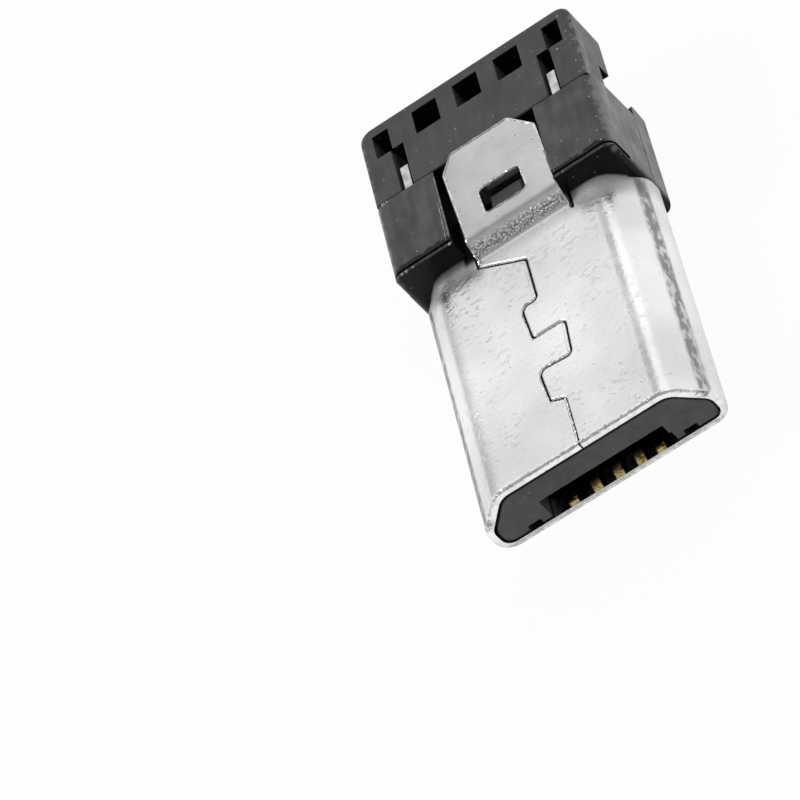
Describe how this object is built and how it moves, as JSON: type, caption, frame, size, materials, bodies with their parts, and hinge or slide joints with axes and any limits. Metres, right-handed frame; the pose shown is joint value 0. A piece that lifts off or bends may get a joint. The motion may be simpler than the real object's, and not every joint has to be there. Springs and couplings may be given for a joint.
{
  "type": "micro usb plug",
  "caption": "Slim cable plug with a folded sheet shell, locking seam, raised tab, sprung latches, black moulded body and solder tails.",
  "frame": {"origin": "middle of the plug's width and length, at the height of the latch hooks' tips, which are its lowest points", "axes": "+X across the width, +Y from the mouth to the solder tails, +Z from the wide face with the hooks to the narrow face with the seam"},
  "size_m": [0.0068, 0.0138, 0.0034],
  "materials": {
    "shell_plate": "nickel plated sheet, satin, with fine rolling grain",
    "core_plastic": "black moulded, fine spark texture",
    "collar_plastic": "black moulded, fine spark texture",
    "latch_steel": "spring steel, bright stamped edges",
    "contact_gold": "gold plated fingers, tinned and knurled tails"
  },
  "bodies": {
    "plug": {"shell": "shell_plate", "core": "core_plastic", "collar": "collar_plastic", "contact_1": "contact_gold", "contact_2": "contact_gold", "contact_3": "contact_gold", "contact_4": "contact_gold", "contact_5": "contact_gold"},
    "latch_left": {"latch_spring_left": "latch_steel"},
    "latch_right": {"latch_spring_right": "latch_steel"}
  },
  "joints": [
    {"name": "latch_left_press", "type": "hinge", "parent": "plug", "child": "latch_left", "pos_m": [-0.00231, 0.00447, 0.00275], "axis": [-1, 0, 0], "range_deg": [0, 3.2], "stiffness_Nm_per_rad": 0.27},
    {"name": "latch_right_press", "type": "hinge", "parent": "plug", "child": "latch_right", "pos_m": [0.00231, 0.00447, 0.00275], "axis": [-1, 0, 0], "range_deg": [0, 3.2], "stiffness_Nm_per_rad": 0.27}
  ]
}
